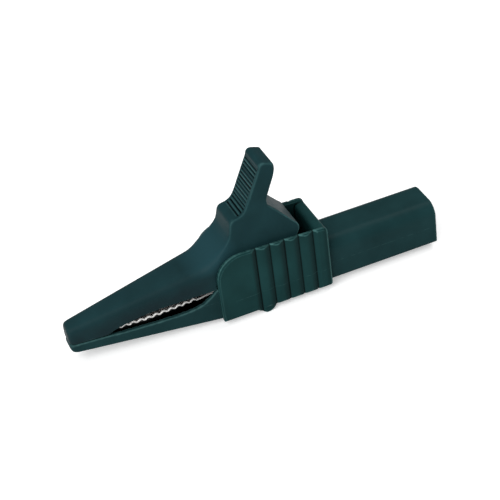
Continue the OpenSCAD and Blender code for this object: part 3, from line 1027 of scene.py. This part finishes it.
@dataclass
class TorsionSpring:
    """The wound spring round the hinge, which winds up as the clip opens."""

    nodes: dict[str, bpy.types.Object]
    pivot: Point = (-45.5, 0.0, 3.5)
    coil_r: float = 2.8
    wire_d: float = 0.7
    half_y: float = 1.65
    fixed_angle: float = 48.0
    moving_angle: float = 45.0
    fixed_len: float = 11.9
    moving_len: float = 11.0
    turns: int = 3
    sides: int = 12
    coil_steps: int = 150
    leg_steps: int = 4

    def _path(self) -> list[Vector]:
        """The wire's middle line from the fixed leg's end to the moving leg's end.

        Returns:
            Points in millimetres.
        """
        lead_in, lead_out = 90 - self.fixed_angle, 90 - self.moving_angle
        start = math.radians(lead_in)
        total = math.radians(360 * self.turns - lead_in - lead_out)
        coil = []
        for i in range(self.coil_steps + 1):
            a = start + total * i / self.coil_steps
            y = self.half_y * (2 * i / self.coil_steps - 1)
            reach = Vector((self.coil_r * math.cos(a), y, self.coil_r * math.sin(a)))
            coil.append(Vector(self.pivot) + reach)
        down, up = math.radians(self.fixed_angle), math.radians(self.moving_angle)
        leg = Vector((math.cos(down), 0, -math.sin(down)))
        arm = Vector((math.cos(up), 0, math.sin(up)))
        shares = [(i + 1) / self.leg_steps for i in range(self.leg_steps)]
        first = [coil[0] + leg * self.fixed_len * share for share in reversed(shares)]
        last = [coil[-1] + arm * self.moving_len * share for share in shares]
        return first + coil + last

    def build(self) -> bpy.types.Object:
        """Sweeps the wire.

        Returns:
            The piece that stands for the spring.
        """
        path = self._path()
        points, faces = [], []
        for i, p in enumerate(path):
            ahead = path[min(i + 1, len(path) - 1)] - path[max(i - 1, 0)]
            across = ahead.cross(Vector((0, 1, 0))).normalized()
            third = across.cross(ahead).normalized()
            for k in range(self.sides):
                a = 2 * math.pi * k / self.sides
                reach = across * math.cos(a) + third * math.sin(a)
                points.append((p + reach * self.wire_d / 2) * MM)
        for i in range(len(path) - 1):
            for k in range(self.sides):
                a, b = i * self.sides + k, i * self.sides + (k + 1) % self.sides
                faces.append((a, b, b + self.sides, a + self.sides))
        faces.append(tuple(range(self.sides - 1, -1, -1)))
        faces.append(tuple(range(len(points) - self.sides, len(points))))
        mesh = bpy.data.meshes.new("torsion_spring_wire")
        mesh.from_pydata(points, [], faces)
        mesh.update()
        set_smooth(mesh)
        piece = bpy.data.objects.new("torsion_spring_wire", mesh)
        bpy.context.scene.collection.objects.link(piece)
        dress(piece, Finish.WIRE)
        reach = self.half_y
        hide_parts("torsion_spring")
        -reach * MM
        reach * MM
        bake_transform(piece)
        return piece


# Studio -----------------------------------------------------------------


@dataclass(frozen=True)
class Lamp:
    """One square soft lamp, in millimetres and watts."""

    name: str
    place: Point
    side_mm: float
    watts: float


@dataclass
class Studio:
    """The pale floor, the soft lamps and the camera at the photograph's angle."""

    floor_z: float = -7.32
    floor_half: float = 1600.0
    key_lamp: Lamp = Lamp("key_lamp", (-480.0, -380.0, 520.0), 520.0, 4.6)
    top_lamp: Lamp = Lamp("top_lamp", (260.0, 140.0, 700.0), 460.0, 2.6)
    aim: Point = (-42.46, 0.0, 6.58)
    right: Point = (0.9158, -0.3849, -0.1146)
    up: Point = (0.3159, 0.5144, 0.7972)
    back: Point = (-0.2479, -0.7663, 0.5927)
    distance: float = 383.4
    lens: float = 115.4
    sensor: float = 36.0
    clip_m: Span = (0.01, 20.0)
    world_level: float = 0.25

    def floor(self) -> None:
        """Lays the floor."""
        mesh = bpy.data.meshes.new("studio_floor")
        half, z = self.floor_half * MM, self.floor_z * MM
        corners = [(-half, -half, z), (half, -half, z), (half, half, z), (-half, half, z)]
        mesh.from_pydata(corners, [], [(0, 1, 2, 3)])
        sheet = bpy.data.objects.new("studio_floor", mesh)
        bpy.context.scene.collection.objects.link(sheet)
        sheet.data.materials.append(StudioFloor().material())

    def hang(self, lamp: Lamp) -> None:
        """Hangs one lamp so that it faces the clip.

        Args:
            lamp: the lamp.
        """
        light = bpy.data.lights.new(lamp.name, "AREA")
        light.size = lamp.side_mm * MM
        light.energy = lamp.watts
        holder = bpy.data.objects.new(lamp.name, light)
        holder.location = Vector(lamp.place) * MM
        aim = Vector(self.aim) * MM - holder.location
        holder.rotation_euler = aim.to_track_quat("-Z", "Y").to_euler()
        bpy.context.scene.collection.objects.link(holder)

    def world(self) -> None:
        """Sets an even pale surround, white to the camera."""
        world = bpy.data.worlds.new("studio_world")
        bpy.context.scene.world = world
        world.use_nodes = True
        tree = world.node_tree
        tree.nodes.clear()
        out = tree.nodes.new("ShaderNodeOutputWorld")
        path = tree.nodes.new("ShaderNodeLightPath")
        level = tree.nodes.new("ShaderNodeMapRange")
        level.inputs["To Min"].default_value = self.world_level
        level.inputs["To Max"].default_value = 1.0
        tree.links.new(path.outputs["Is Camera Ray"], level.inputs["Value"])
        glow = tree.nodes.new("ShaderNodeBackground")
        glow.inputs["Color"].default_value = (*WHITE, 1.0)
        tree.links.new(level.outputs[0], glow.inputs["Strength"])
        tree.links.new(glow.outputs[0], out.inputs["Surface"])

    def camera(self) -> None:
        """Sets the camera at the photograph's angle."""
        lens = bpy.data.cameras.new("photo_camera")
        lens.sensor_width = self.sensor
        lens.lens = self.lens
        lens.clip_start, lens.clip_end = self.clip_m
        holder = bpy.data.objects.new("photo_camera", lens)
        right, up, back = Vector(self.right), Vector(self.up), Vector(self.back)
        place = (Vector(self.aim) + back * self.distance) * MM
        turn = Matrix((right, up, back)).transposed().to_4x4()
        holder.matrix_world = Matrix.Translation(place) @ turn
        bpy.context.scene.collection.objects.link(holder)
        bpy.context.scene.camera = holder

    def build(self) -> None:
        """Sets up the whole studio."""
        self.floor()
        self.world()
        self.hang(self.key_lamp)
        self.hang(self.top_lamp)
        self.camera()
        bpy.context.scene.view_settings.view_transform = "Standard"


def main() -> None:
    """Builds the clip piece by piece and the studio round it."""
    logging.basicConfig(level=logging.INFO, format="%(name)s: %(message)s")
    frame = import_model()
    nodes = frame["nodes"]
    report(UpperJaw(nodes).build(), "jaw")
    report(LowerBody(nodes).build(), "body")
    report(GripCover(nodes).build(), "body")
    for piece in StampedJaws(nodes).build():
        report(piece, piece["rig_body"])
    for piece in MetalParts(nodes).build():
        report(piece, piece["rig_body"])
    report(TorsionSpring(nodes).build(), "body and jaw")
    Studio().build()


if __name__ == "__main__":
    main()
